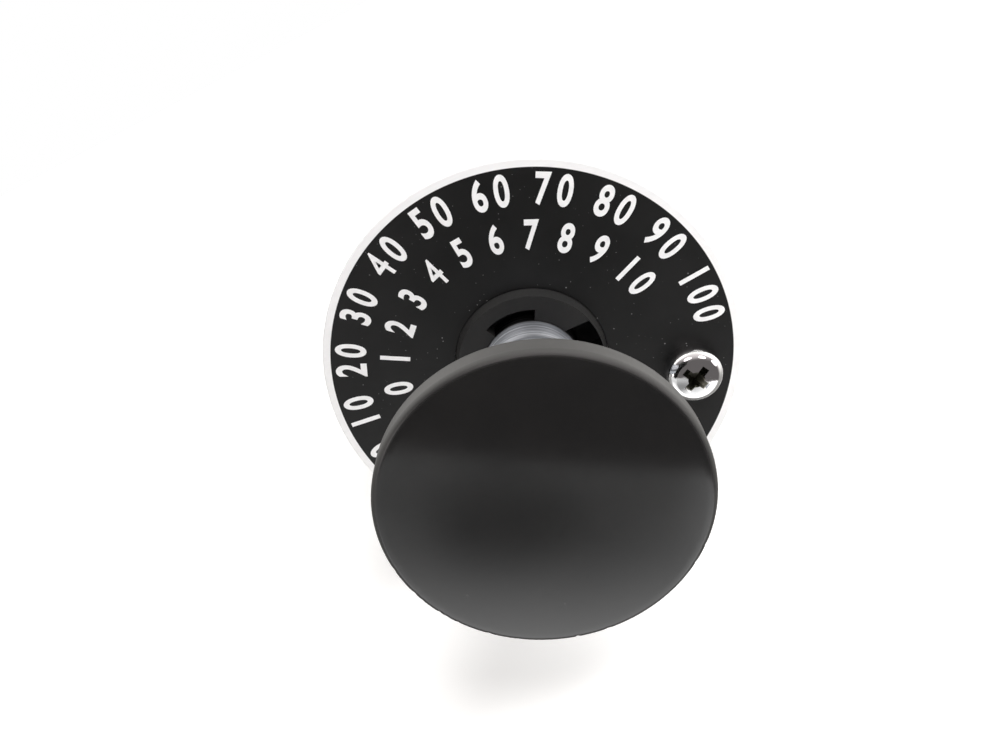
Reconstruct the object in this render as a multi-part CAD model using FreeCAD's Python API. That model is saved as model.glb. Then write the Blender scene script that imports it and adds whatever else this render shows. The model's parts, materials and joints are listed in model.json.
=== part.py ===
import FreeCAD, Part
import math
import os

# Push-pull air brake dash control valve, millimetres.
# X to the right, Y into the dash along the plunger's axis, Z up.
# The origin is where the plunger's axis crosses the mounting face, at the nameplate's back.

# Clearances
RUNNING_GAP = 0.08
STATIC_GAP = 0.05
SEAL_GAP = 0.02

# How far a cutting shape runs past the face it opens
PAST = 1.0

# Plunger travel, from out at rest to pushed in
TRAVEL = 6.4

# Nameplate
PLATE_D = 57.15
PLATE_T = 0.8
PLATE_SHIFT_X = -0.4
PLATE_SHIFT_Z = -0.9
PLATE_EDGE_R = 0.15
PLATE_HOLE_GAP = 0.4
PLATE_BOSS_GAP = 0.1

# Nameplate screws, pan head with a cross recess
SCREW_FROM_PLATE_EDGE = 6.475
SCREW_ANGLES = (-29.9, 209.9)
SCREW_SHANK_R = 2.05
SCREW_POINT_R = 1.25
SCREW_POINT_LENGTH = 1.0
SCREW_HOLE_SPARE = 0.5
SCREW_HEAD_R = 3.9
SCREW_HEAD_H = 3.3
SCREW_HEAD_EDGE_H = 2.7
SCREW_HEAD_EDGE_R = 1.6
SCREW_LENGTH = 11.0
RECESS_SPAN = 4.3
RECESS_W = 1.05
RECESS_DEPTH = 2.1
RECESS_CORE_R = 1.15
RECESS_TIP_R = 0.55
RECESS_TURNS = (29.5, 69.5)
INSERT_R = 3.2
INSERT_LENGTH = 9.0

# Grooves that key a brass insert into the moulding
KEY_GROOVE_W = 1.2
KEY_GROOVE_DEPTH = 0.45
KEY_GROOVES = 2

# Front boss of the body, round the plunger
BOSS_PROUD = 1.9
BOSS_BASE_R = 10.35
BOSS_FACE_R = 10.0
BOSS_SLOT_W = 5.4
BOSS_SLOT_RIM = 0.15
BOSS_SLOT_DEPTH = 5.4
BOSS_NOTCH_R = 8.1
BOSS_NOTCH_MIDDLE = 88.5
BOSS_NOTCH_HALF_ANGLE = 26.0
BOSS_NOTCH_DEPTH = 3.2
GUIDE_END_Y = 7.0

# Plunger
PLUNGER_R = 6.5
PLUNGER_EDGE = 0.6
COLLAR_R = 8.8
COLLAR_T = 2.2
STEM_R = 4.0
THREAD_R = 2.5
THREAD_END = 1.0

# Knob
KNOB_R = 17.95
KNOB_FRONT_Y = -36.3
KNOB_RIM_T = 3.1
KNOB_DOME_H = 1.3
KNOB_EDGE_R = 0.8
KNOB_BACK_EDGE_R = 0.5
KNOB_HUB_R = 9.2
KNOB_HUB_TIP_R = 8.7
KNOB_HUB_LENGTH = 9.6
KNOB_BACK_DISH = 1.6
KNOB_DISH_FLOOR = 1.5
KNOB_CROWN_T = 2.4
PIN_R = 1.5
PIN_WALL = 0.55
PIN_SLIT = 0.5
PIN_SHORT = 0.6
PIN_FROM_HUB_TIP = 5.0

# Seals: radius of the round section of each
WIPER_SECTION = 0.8
WIPER_Y = 4.6
STEM_SEAL_SECTION = 0.8
SPOOL_SEAL_SECTION = 0.9
COVER_SEAL_SECTION = 0.75
GROOVE_SIDE_GAP = 0.2

# Spring chamber, stop washer and return spring
CHAMBER_R = 9.6
STOP_T = 1.0
STOP_EDGE_GAP = 0.2
STOP_HOLE_GAP = 0.4
SPRING_WIRE_R = 0.7
SPRING_COIL_R = 7.0
SPRING_LENGTH = 14.4
SPRING_TURNS = 4.6

# Guide spool
SPOOL_BORE_R = 11.0
SPOOL_LAND = 4.8
SPOOL_WAIST = 7.4
SPOOL_WAIST_R = 7.4
SPOOL_PASSAGE_R = 5.7
SPOOL_WINDOW_R = 2.2
SPOOL_WINDOWS = 4
SEAT_LIP_H = 0.6
SEAT_LIP_IN_R = 6.2
SEAT_LIP_OUT_R = 7.0
RING_T = 1.0
RING_IN_R = 9.6
RING_GRIP = 1.0
RING_OPENING = 44.0
RING_EAR_R = 1.5
RING_EAR_HOLE_R = 0.7
RING_EAR_ANGLE = 8.0
RING_EAR_OUTWARD = 0.2

# Inlet and exhaust seal with its washer and nut
SEAL_R = 8.2
SEAL_T = 3.2
SEAL_WASHER_R = 5.0
SEAL_WASHER_T = 0.8
NUT_FLATS = 8.0
NUT_T = 3.0

# The chamfer on a hexagon's rear corners: its circle on the face as a share of the flats, and its slope
CHAMFER_CIRCLE = 0.95
CHAMFER_SLOPE = 30.0

# Body
FLANGE_FROM_PLATE_EDGE = 4.075
FLANGE_T = 5.0
FLANGE_RIM_T = 2.0
BARREL_R = 15.0
SCREW_BOSS_R = 5.2
SCREW_BOSS_LENGTH = 12.5
RIB_T = 2.0
RIB_LENGTH = 13.0
RIB_INSET = 1.2
RIB_TIP = 2.2
RIB_ANGLES = (-60.0, 0.0, 30.0, 60.0, 90.0, 120.0, 150.0, 180.0, 240.0)
CHAMBER_FLOOR = 6.9
BREATHER_R = 1.3
BREATHER_FROM_GUIDE = 5.0

# Side ports: a brass insert moulded into a boss
PORT_HOLE_R = 5.6
PORT_INSERT_R = 8.2
PORT_INSERT_LENGTH = 11.0
PORT_INSERT_PROUD = 0.5
PORT_BOSS_R = 10.4
PORT_REACH = 26.0
PORT_BEAD = 1.4
PORT_PASSAGE_R = 3.0
SUPPLY_PORT_LIFT = 1.0
DELIVERY_PORT_FROM_END = 10.5
DELIVERY_DRILL_R = 2.2

# Rear cover
COVER_FLANGE_R = 14.6
COVER_FLANGE_T = 3.6
COVER_WALL = 2.2
COVER_BACK_T = 2.6
COVER_BACK_EDGE = 1.0
COVER_DRAFT = 0.6
COVER_SEAT_H = 1.0
COVER_SEAL_R = 12.7
EXHAUST_HOLE_R = 5.6
EXHAUST_BOSS_R = 9.4
EXHAUST_LENGTH = 10.0
EXHAUST_EDGE = 0.8
COVER_SCREW_FROM_FLANGE = 3.0
COVER_SCREW_ANGLES = (140.0, 320.0)
COVER_LUG_R = 4.4
COVER_LUG_LENGTH = 13.0
COVER_LUG_TIP_R = 1.5
COVER_SCREW_SHANK_R = 1.9
COVER_SCREW_GAP = 0.2
COVER_SCREW_FLATS = 6.4
COVER_SCREW_HEAD_H = 2.6
COVER_SCREW_BITE = 8.0
LOCK_WASHER_R = 3.3
LOCK_WASHER_T = 0.9
LOCK_WASHER_GAP = 0.15
LOCK_WASHER_SPLIT = 0.9

# Places along Y that follow from the sizes above
PLATE_FRONT_Y = -PLATE_T
BOSS_FACE_Y = PLATE_FRONT_Y - BOSS_PROUD
COLLAR_Y = GUIDE_END_Y + STOP_T
SPRING_Y = COLLAR_Y + COLLAR_T
SPOOL_Y = SPRING_Y + SPRING_LENGTH
WAIST_Y = SPOOL_Y + SPOOL_LAND
REAR_LAND_Y = WAIST_Y + SPOOL_WAIST
SPOOL_END_Y = REAR_LAND_Y + SPOOL_LAND
SEAL_Y = SPOOL_END_Y + SEAT_LIP_H
SEAL_END_Y = SEAL_Y + SEAL_T
NUT_Y = SEAL_END_Y + SEAL_WASHER_T
THREAD_END_Y = NUT_Y + NUT_T + THREAD_END
BODY_END_Y = SPOOL_END_Y + CHAMBER_FLOOR
COVER_SEAT_Y = SEAL_END_Y + TRAVEL
COVER_FLOOR_Y = COVER_SEAT_Y + COVER_SEAT_H
COVER_BACK_Y = COVER_FLOOR_Y + COVER_BACK_T
COVER_END_Y = COVER_BACK_Y + EXHAUST_LENGTH
KNOB_BACK_Y = KNOB_FRONT_Y + KNOB_RIM_T
KNOB_HUB_TIP_Y = KNOB_BACK_Y + KNOB_BACK_DISH + KNOB_HUB_LENGTH
PLUNGER_TIP_Y = KNOB_FRONT_Y + KNOB_CROWN_T
PIN_Y = KNOB_HUB_TIP_Y - PIN_FROM_HUB_TIP

# Radii that follow from the sizes above
SCREW_CIRCLE_R = PLATE_D / 2 - SCREW_FROM_PLATE_EDGE
FLANGE_R = PLATE_D / 2 - FLANGE_FROM_PLATE_EDGE
COVER_SCREW_CIRCLE_R = COVER_FLANGE_R + COVER_SCREW_FROM_FLANGE
GUIDE_R = PLUNGER_R + RUNNING_GAP
WIPER_RING_R = PLUNGER_R + WIPER_SECTION + SEAL_GAP
STEM_SEAL_RING_R = STEM_R + STEM_SEAL_SECTION + SEAL_GAP
SPOOL_R = SPOOL_BORE_R - STATIC_GAP
SPOOL_SEAL_RING_R = SPOOL_BORE_R - SPOOL_SEAL_SECTION - SEAL_GAP
BOSS_SLOT_END_R = BOSS_FACE_R - BOSS_SLOT_RIM
PORT_FLOOR_R = PORT_REACH + PORT_INSERT_PROUD - PORT_INSERT_LENGTH

AXIS = FreeCAD.Vector(0, 1, 0)
ORIGIN = FreeCAD.Vector(0, 0, 0)


def vec(x, y, z):
    return FreeCAD.Vector(x, y, z)


def polar(radius, angle, y=0.0):
    """A point at this radius from the plunger's axis, the angle counted from +X towards +Z."""
    a = math.radians(angle)
    return vec(radius * math.cos(a), y, radius * math.sin(a))


def rod(start, direction, radius, length):
    return Part.makeCylinder(radius, length, start, direction)


def disc(y0, y1, radius, centre=ORIGIN):
    return rod(vec(centre.x, y0, centre.z), AXIS, radius, y1 - y0)


def ring(y0, y1, inner, outer, centre=ORIGIN):
    return disc(y0, y1, outer, centre).cut(disc(y0 - PAST, y1 + PAST, inner, centre))


def outline_face(points):
    """A flat face inside straight lines from point to point."""
    return Part.Face(Part.makePolygon(points + points[:1]))


def turned(points):
    """A solid turned about the plunger's axis from (y, radius) points."""
    return outline_face([vec(r, y, 0) for y, r in points]).revolve(ORIGIN, AXIS, 360)


def sector(y0, y1, middle, half_angle, radius):
    """A slice of a disc, this many degrees to each side of its middle angle."""
    reach = radius / math.cos(math.radians(half_angle)) + PAST
    points = [vec(0, y0, 0), polar(reach, middle - half_angle, y0), polar(reach, middle + half_angle, y0)]
    return outline_face(points).extrude(vec(0, y1 - y0, 0)).common(disc(y0, y1, radius))


def radial_box(y0, y1, width, reach):
    """A box from the plunger's axis out along +X, centred on it in height."""
    return Part.makeBox(reach, y1 - y0, width, vec(0, y0, -width / 2))


def about_axis(shape, angle):
    """Turns a shape made on +X to this angle, counted from +X towards +Z."""
    copy = shape.copy()
    copy.rotate(ORIGIN, AXIS, -angle)
    return copy


def round_seal(y, ring_r, section_r):
    return Part.makeTorus(ring_r, section_r, vec(0, y, 0), AXIS)


def seal_groove(y, section_r, inner, outer):
    half = section_r + GROOVE_SIDE_GAP
    return ring(y - half, y + half, inner, outer)


def hexagon(y0, y1, flats, centre=ORIGIN):
    """A hexagonal prism whose rear corners are turned off, as on a nut or a screw's head."""
    corner_r = flats / math.sqrt(3)
    thick = y1 - y0
    prism = outline_face([centre + polar(corner_r, 60 * k, y0) for k in range(6)]).extrude(vec(0, thick, 0))
    face_r = flats / 2 * CHAMFER_CIRCLE
    spread = thick / math.tan(math.radians(CHAMFER_SLOPE))
    cone = Part.makeCone(face_r + spread, face_r, thick, vec(centre.x, y0, centre.z), AXIS)
    return prism.common(cone)


def edges_at(shape, y, radius, reach=0.02):
    """The round edges about the plunger's axis at this place."""
    found = []
    for edge in shape.Edges:
        curve = edge.Curve
        if isinstance(curve, Part.Circle) and abs(curve.Center.y - y) < reach:
            if abs(curve.Radius - radius) < reach and math.hypot(curve.Center.x, curve.Center.z) < reach:
                found.append(edge)
    return found


def rounded(shape, y, radius, size):
    return shape.makeFillet(size, edges_at(shape, y, radius))


def group(shapes):
    return shapes[0] if len(shapes) == 1 else Part.makeCompound(shapes)


def screw_centres():
    return [polar(SCREW_CIRCLE_R, a) for a in SCREW_ANGLES]


def cover_screw_centres():
    return [polar(COVER_SCREW_CIRCLE_R, a) for a in COVER_SCREW_ANGLES]


def make_knob():
    front_y = KNOB_FRONT_Y - KNOB_DOME_H
    blank = turned([
        (front_y, 0),
        (front_y, KNOB_R),
        (KNOB_BACK_Y, KNOB_R),
        (KNOB_BACK_Y + KNOB_BACK_DISH, KNOB_HUB_R + KNOB_DISH_FLOOR),
        (KNOB_BACK_Y + KNOB_BACK_DISH, KNOB_HUB_R),
        (KNOB_HUB_TIP_Y, KNOB_HUB_TIP_R),
        (KNOB_HUB_TIP_Y, 0),
    ])
    dome_r = (KNOB_R ** 2 + KNOB_DOME_H ** 2) / (2 * KNOB_DOME_H)
    dome = Part.makeSphere(dome_r, vec(0, front_y + dome_r, 0))
    knob = blank.common(dome)
    knob = rounded(knob, KNOB_FRONT_Y, KNOB_R, KNOB_EDGE_R)
    knob = rounded(knob, KNOB_BACK_Y, KNOB_R, KNOB_BACK_EDGE_R)
    knob = rounded(knob, KNOB_HUB_TIP_Y, KNOB_HUB_TIP_R, KNOB_EDGE_R)
    knob = knob.cut(disc(PLUNGER_TIP_Y - SEAL_GAP, KNOB_HUB_TIP_Y + PAST, PLUNGER_R + SEAL_GAP))
    return knob.cut(pin_hole(KNOB_HUB_R + PAST))


def pin_hole(reach):
    return rod(vec(-reach, PIN_Y, 0), vec(1, 0, 0), PIN_R + SEAL_GAP, 2 * reach)


def make_roll_pin():
    """A rolled spring pin, open along one side."""
    half = KNOB_HUB_TIP_R - PIN_SHORT
    start = vec(-half, PIN_Y, 0)
    along = vec(1, 0, 0)
    pin = rod(start, along, PIN_R, 2 * half).cut(rod(start, along, PIN_R - PIN_WALL, 2 * half))
    slit = Part.makeBox(2 * half, PIN_R + PAST, PIN_SLIT, vec(-half, PIN_Y, -PIN_SLIT / 2))
    return pin.cut(slit)


def make_plunger():
    plunger = turned([
        (PLUNGER_TIP_Y, 0),
        (PLUNGER_TIP_Y, PLUNGER_R - PLUNGER_EDGE),
        (PLUNGER_TIP_Y + PLUNGER_EDGE, PLUNGER_R),
        (COLLAR_Y, PLUNGER_R),
        (COLLAR_Y, COLLAR_R),
        (SPRING_Y, COLLAR_R),
        (SPRING_Y, SPRING_COIL_R - SPRING_WIRE_R - RUNNING_GAP),
        (SPRING_Y + 2 * SPRING_WIRE_R, SPRING_COIL_R - SPRING_WIRE_R - 4 * RUNNING_GAP),
        (SPRING_Y + 2 * SPRING_WIRE_R, STEM_R),
        (SEAL_Y, STEM_R),
        (SEAL_Y, THREAD_R),
        (THREAD_END_Y - PLUNGER_EDGE, THREAD_R),
        (THREAD_END_Y, THREAD_R - PLUNGER_EDGE),
        (THREAD_END_Y, 0),
    ])
    return plunger.cut(pin_hole(PLUNGER_R + PAST))


def make_nameplate():
    middle = vec(PLATE_SHIFT_X, 0, PLATE_SHIFT_Z)
    plate = rounded(disc(PLATE_FRONT_Y, 0, PLATE_D / 2), PLATE_FRONT_Y, PLATE_D / 2, PLATE_EDGE_R)
    plate.translate(middle)
    plate = plate.cut(disc(PLATE_FRONT_Y - PAST, PAST, BOSS_BASE_R + PLATE_BOSS_GAP))
    for centre in screw_centres():
        plate = plate.cut(disc(PLATE_FRONT_Y - PAST, PAST, SCREW_SHANK_R + PLATE_HOLE_GAP, centre))
    return plate


def cross_recess():
    """A cross of two tapered blades on the screw's own axis, from its mouth at y = 0 towards +Y."""
    half = RECESS_SPAN / 2
    thick = RECESS_W / 2
    blade = None
    for turn in (0, 90):
        points = [vec(-half, -PAST, -thick), vec(half, -PAST, -thick), vec(half, 0, -thick)]
        points += [vec(side * thick, RECESS_DEPTH, -thick) for side in (1, -1)]
        points.append(vec(-half, 0, -thick))
        one = outline_face(points).extrude(vec(0, 0, RECESS_W))
        one.rotate(ORIGIN, AXIS, turn)
        blade = one if blade is None else blade.fuse(one)
    core = Part.makeCone(RECESS_CORE_R, RECESS_TIP_R, RECESS_DEPTH, ORIGIN, AXIS)
    return blade.fuse(core)


def make_pan_screw(centre, turn):
    """One pan head screw, its head on the nameplate's front."""
    under = PLATE_FRONT_Y
    top = under - SCREW_HEAD_H
    rise = SCREW_HEAD_H - SCREW_HEAD_EDGE_H
    dome_r = (SCREW_HEAD_R ** 2 + rise ** 2) / (2 * rise)
    head = disc(top, under, SCREW_HEAD_R).common(Part.makeSphere(dome_r, vec(0, top + dome_r, 0)))
    head = rounded(head, top + rise, SCREW_HEAD_R, SCREW_HEAD_EDGE_R)
    point_y = under + SCREW_LENGTH - SCREW_POINT_LENGTH
    shank = disc(under, point_y, SCREW_SHANK_R)
    point = Part.makeCone(SCREW_SHANK_R, SCREW_POINT_R, SCREW_POINT_LENGTH, vec(0, point_y, 0), AXIS)
    recess = cross_recess()
    recess.rotate(ORIGIN, AXIS, -turn)
    recess.translate(vec(0, top, 0))
    screw = head.fuse([shank, point]).removeSplitter().cut(recess)
    screw.translate(centre)
    return screw


def make_nameplate_screws():
    return group([make_pan_screw(c, turn) for c, turn in zip(screw_centres(), RECESS_TURNS)])


def brass_insert(start, out, hole_r, radius, length):
    """A brass tube with round grooves that key it into the moulding."""
    insert = rod(start, out, radius, length)
    for k in range(1, KEY_GROOVES + 1):
        at = start + out * (length * k / (KEY_GROOVES + 1) - KEY_GROOVE_W / 2)
        core = rod(at, out, radius - KEY_GROOVE_DEPTH, KEY_GROOVE_W)
        insert = insert.cut(rod(at, out, radius + PAST, KEY_GROOVE_W).cut(core))
    return insert.cut(rod(start, out, hole_r, length))


def make_screw_inserts():
    hole_r = SCREW_SHANK_R + STATIC_GAP
    return group([brass_insert(c, AXIS, hole_r, INSERT_R, INSERT_LENGTH) for c in screw_centres()])


def make_wiper():
    return round_seal(WIPER_Y, WIPER_RING_R, WIPER_SECTION)


def make_stop_washer():
    return ring(GUIDE_END_Y, COLLAR_Y, PLUNGER_R + STOP_HOLE_GAP, CHAMBER_R - STOP_EDGE_GAP)


def make_return_spring():
    """A round wire coil with both ends ground flat."""
    height = SPRING_LENGTH - SPRING_WIRE_R
    pitch = height / SPRING_TURNS
    path = Part.makeHelix(pitch, height, SPRING_COIL_R)
    along_wire = vec(0, 1, pitch / (2 * math.pi * SPRING_COIL_R))
    circle = Part.makeCircle(SPRING_WIRE_R, vec(SPRING_COIL_R, 0, 0), along_wire)
    coil = Part.Wire(path).makePipeShell([Part.Wire(circle)], True, True)
    coil.rotate(ORIGIN, vec(1, 0, 0), -90)
    coil.translate(vec(0, SPRING_Y + SPRING_WIRE_R / 2, 0))
    return coil.common(disc(SPRING_Y, SPOOL_Y, SPRING_COIL_R + 2 * SPRING_WIRE_R))


def seat_lip(y, towards):
    """A raised ring that a rubber face closes on, its crest rounded off to half its width."""
    wall = (SEAT_LIP_OUT_R - SEAT_LIP_IN_R) / 4
    tip = y + towards
    return turned([
        (y, SEAT_LIP_IN_R),
        (tip, SEAT_LIP_IN_R + wall),
        (tip, SEAT_LIP_OUT_R - wall),
        (y, SEAT_LIP_OUT_R),
    ])


def make_guide_spool():
    """Two sealing lands with a ported waist between them, and the inlet seat on the rear end."""
    spool = turned([
        (SPOOL_Y, STEM_R + RUNNING_GAP),
        (SPOOL_Y, SPOOL_R),
        (WAIST_Y, SPOOL_R),
        (WAIST_Y, SPOOL_WAIST_R),
        (REAR_LAND_Y, SPOOL_WAIST_R),
        (REAR_LAND_Y, SPOOL_R),
        (SPOOL_END_Y, SPOOL_R),
        (SPOOL_END_Y, SPOOL_PASSAGE_R),
        (WAIST_Y, SPOOL_PASSAGE_R),
        (WAIST_Y, STEM_R + RUNNING_GAP),
    ])
    floor = SPOOL_SEAL_RING_R - SPOOL_SEAL_SECTION - SEAL_GAP
    for y in spool_seal_places():
        spool = spool.cut(seal_groove(y, SPOOL_SEAL_SECTION, floor, SPOOL_R + PAST))
    top = STEM_SEAL_RING_R + STEM_SEAL_SECTION + SEAL_GAP
    spool = spool.cut(seal_groove(spool_seal_places()[0], STEM_SEAL_SECTION, STEM_R, top))
    middle = vec(0, (WAIST_Y + REAR_LAND_Y) / 2, 0)
    for k in range(SPOOL_WINDOWS):
        direction = polar(1, 45 + 360 * k / SPOOL_WINDOWS)
        spool = spool.cut(rod(middle, direction, SPOOL_WINDOW_R, SPOOL_R))
    return spool.fuse(seat_lip(SPOOL_END_Y, SEAT_LIP_H)).removeSplitter()


def spool_seal_places():
    return (SPOOL_Y + SPOOL_LAND / 2, REAR_LAND_Y + SPOOL_LAND / 2)


def make_spool_seal(which):
    return round_seal(spool_seal_places()[which], SPOOL_SEAL_RING_R, SPOOL_SEAL_SECTION)


def make_stem_seal():
    return round_seal(spool_seal_places()[0], STEM_SEAL_RING_R, STEM_SEAL_SECTION)


def make_retaining_ring():
    """An inside circlip with two drilled ears beside its opening."""
    y0 = SPOOL_END_Y + STATIC_GAP
    y1 = y0 + RING_T
    outer = SPOOL_BORE_R + RING_GRIP - STATIC_GAP
    clip = ring(y0, y1, RING_IN_R, outer)
    half = RING_OPENING / 2
    ears = []
    cuts = [sector(y0 - PAST, y1 + PAST, 90, half, outer + PAST)]
    for side in (-1, 1):
        centre = polar(RING_IN_R + RING_EAR_OUTWARD, 90 + side * (half + RING_EAR_ANGLE))
        ears.append(disc(y0, y1, RING_EAR_R, centre))
        cuts.append(disc(y0 - PAST, y1 + PAST, RING_EAR_HOLE_R, centre))
    return clip.fuse(ears).cut(cuts).removeSplitter()


def make_seal():
    return ring(SEAL_Y, SEAL_END_Y, THREAD_R + STATIC_GAP, SEAL_R)


def make_seal_washer():
    return ring(SEAL_END_Y, NUT_Y, THREAD_R + STATIC_GAP, SEAL_WASHER_R)


def make_lock_nut():
    nut = hexagon(NUT_Y, NUT_Y + NUT_T, NUT_FLATS)
    return nut.cut(disc(NUT_Y - PAST, NUT_Y + NUT_T + PAST, THREAD_R + STATIC_GAP))


def boss_openings():
    """The two slots beside the plunger's bore, and the notches above and below it."""
    front = BOSS_FACE_Y - PAST
    slot_floor = BOSS_FACE_Y + BOSS_SLOT_DEPTH
    slot = radial_box(front, slot_floor, BOSS_SLOT_W, BOSS_FACE_R)
    slot = slot.common(disc(front, slot_floor, BOSS_SLOT_END_R))
    notch_floor = BOSS_FACE_Y + BOSS_NOTCH_DEPTH
    cuts = []
    for side in (0, 180):
        cuts.append(about_axis(slot, side))
        middle = side + BOSS_NOTCH_MIDDLE
        cuts.append(sector(front, notch_floor, middle, BOSS_NOTCH_HALF_ANGLE, BOSS_NOTCH_R))
    return cuts


def port_places():
    """Each side port: the angle it points at and its place along Y."""
    supply_y = (WAIST_Y + REAR_LAND_Y) / 2 + SUPPLY_PORT_LIFT
    return {"supply": (270.0, supply_y), "delivery": (180.0, BODY_END_Y - DELIVERY_PORT_FROM_END)}


def port_boss(angle, y):
    """A round boss that grows out of the barrel, its mouth rounded off."""
    out = polar(1, angle)
    inside = SPOOL_BORE_R + PAST
    boss = rod(polar(inside, angle, y), out, PORT_BOSS_R, PORT_REACH - inside)
    mouth = []
    for edge in boss.Edges:
        if isinstance(edge.Curve, Part.Circle) and abs(edge.Curve.Center.dot(out) - PORT_REACH) < SEAL_GAP:
            mouth.append(edge)
    return boss.makeFillet(PORT_BEAD, mouth)


def port_cut(angle, y):
    return rod(polar(PORT_FLOOR_R, angle, y), polar(1, angle), PORT_INSERT_R + SEAL_GAP, PORT_REACH)


def rib():
    """One web between the flange and the barrel, made on +X."""
    root = BARREL_R - PAST
    foot = FLANGE_R - RIB_INSET
    end_y = FLANGE_T + RIB_LENGTH
    low = -RIB_T / 2
    points = [vec(root, FLANGE_RIM_T, low), vec(foot, FLANGE_RIM_T, low), vec(foot, FLANGE_T, low)]
    points += [vec(root + RIB_TIP, end_y, low), vec(root, end_y, low)]
    return outline_face(points).extrude(vec(0, 0, RIB_T))


def webbed_lug(y0, y1, radius, circle_r, angle):
    """A round lug at this angle, with a web of the lug's width back to the middle."""
    web = radial_box(y0, y1, 2 * radius, circle_r)
    return [disc(y0, y1, radius, polar(circle_r, angle)), about_axis(web, angle)]


def cover_lug(angle):
    """A lug for a cover screw, tapering into the barrel at its front end."""
    y0 = BODY_END_Y - COVER_LUG_LENGTH
    tip = Part.makeCone(COVER_LUG_TIP_R, COVER_LUG_R, COVER_LUG_R,
                        polar(COVER_SCREW_CIRCLE_R, angle, y0 - COVER_LUG_R), AXIS)
    return webbed_lug(y0, BODY_END_Y, COVER_LUG_R, COVER_SCREW_CIRCLE_R, angle) + [tip]


def body_bore():
    """Everything turned out of the body along the plunger's axis."""
    groove_y = SPOOL_END_Y + STATIC_GAP
    return turned([
        (BOSS_FACE_Y - PAST, 0),
        (BOSS_FACE_Y - PAST, GUIDE_R),
        (GUIDE_END_Y, GUIDE_R),
        (GUIDE_END_Y, CHAMBER_R),
        (SPOOL_Y, CHAMBER_R),
        (SPOOL_Y, SPOOL_BORE_R),
        (groove_y - STATIC_GAP, SPOOL_BORE_R),
        (groove_y - STATIC_GAP, SPOOL_BORE_R + RING_GRIP),
        (groove_y + RING_T + STATIC_GAP, SPOOL_BORE_R + RING_GRIP),
        (groove_y + RING_T + STATIC_GAP, SPOOL_BORE_R),
        (BODY_END_Y + PAST, SPOOL_BORE_R),
        (BODY_END_Y + PAST, 0),
    ])


def make_valve_body():
    """A moulding: boss, flange with a raised rear rim, ribs, barrel, port bosses and cover lugs."""
    core = turned([
        (BOSS_FACE_Y, 0),
        (BOSS_FACE_Y, BOSS_FACE_R),
        (PLATE_FRONT_Y, BOSS_BASE_R),
        (0, BOSS_BASE_R),
        (0, FLANGE_R),
        (FLANGE_T, FLANGE_R),
        (FLANGE_T, FLANGE_R - FLANGE_RIM_T),
        (FLANGE_RIM_T, FLANGE_R - FLANGE_RIM_T),
        (FLANGE_RIM_T, BARREL_R),
        (BODY_END_Y, BARREL_R),
        (BODY_END_Y, 0),
    ])
    added = [about_axis(rib(), a) for a in RIB_ANGLES]
    for angle in SCREW_ANGLES:
        added.append(disc(0, SCREW_BOSS_LENGTH, SCREW_BOSS_R, polar(SCREW_CIRCLE_R, angle)))
        added.append(about_axis(radial_box(0, SCREW_BOSS_LENGTH, 2 * RIB_T, SCREW_CIRCLE_R), angle))
    for angle in COVER_SCREW_ANGLES:
        added += cover_lug(angle)
    added += [port_boss(angle, y) for angle, y in port_places().values()]
    body = core.fuse(added)

    cuts = [body_bore()] + boss_openings() + air_passages()
    cuts.append(seal_groove(WIPER_Y, WIPER_SECTION, PLUNGER_R, WIPER_RING_R + WIPER_SECTION + SEAL_GAP))
    cuts += [port_cut(angle, y) for angle, y in port_places().values()]
    for centre in screw_centres():
        cuts.append(disc(-PAST, INSERT_LENGTH, INSERT_R + SEAL_GAP, centre))
        cuts.append(disc(0, SCREW_LENGTH + SCREW_HOLE_SPARE, SCREW_SHANK_R + STATIC_GAP, centre))
    for centre in cover_screw_centres():
        floor_y = BODY_END_Y - COVER_SCREW_BITE - SCREW_HOLE_SPARE
        cuts.append(disc(floor_y, BODY_END_Y + PAST, COVER_SCREW_SHANK_R + STATIC_GAP, centre))
    return body.cut(cuts).removeSplitter()


def air_passages():
    """Straight holes to the spool's waist and the spring's chamber, and a slanting one behind the spool."""
    supply_angle = port_places()["supply"][0]
    down = polar(1, supply_angle)
    waist = rod(vec(0, (WAIST_Y + REAR_LAND_Y) / 2, 0), down, PORT_PASSAGE_R, PORT_FLOOR_R + PAST)
    breather = rod(vec(0, GUIDE_END_Y + BREATHER_FROM_GUIDE, 0), down, BREATHER_R, BARREL_R + PAST)
    angle, y = port_places()["delivery"]
    start_r = PORT_FLOOR_R + PAST
    start = polar(start_r, angle, y + PORT_HOLE_R - DELIVERY_DRILL_R)
    length = (start_r - SPOOL_BORE_R + DELIVERY_DRILL_R) * math.sqrt(2)
    return [waist, breather, rod(start, AXIS - polar(1, angle), DELIVERY_DRILL_R, length)]


def make_port_insert(name):
    angle, y = port_places()[name]
    start = polar(PORT_FLOOR_R, angle, y)
    return brass_insert(start, polar(1, angle), PORT_HOLE_R, PORT_INSERT_R, PORT_INSERT_LENGTH)


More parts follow.
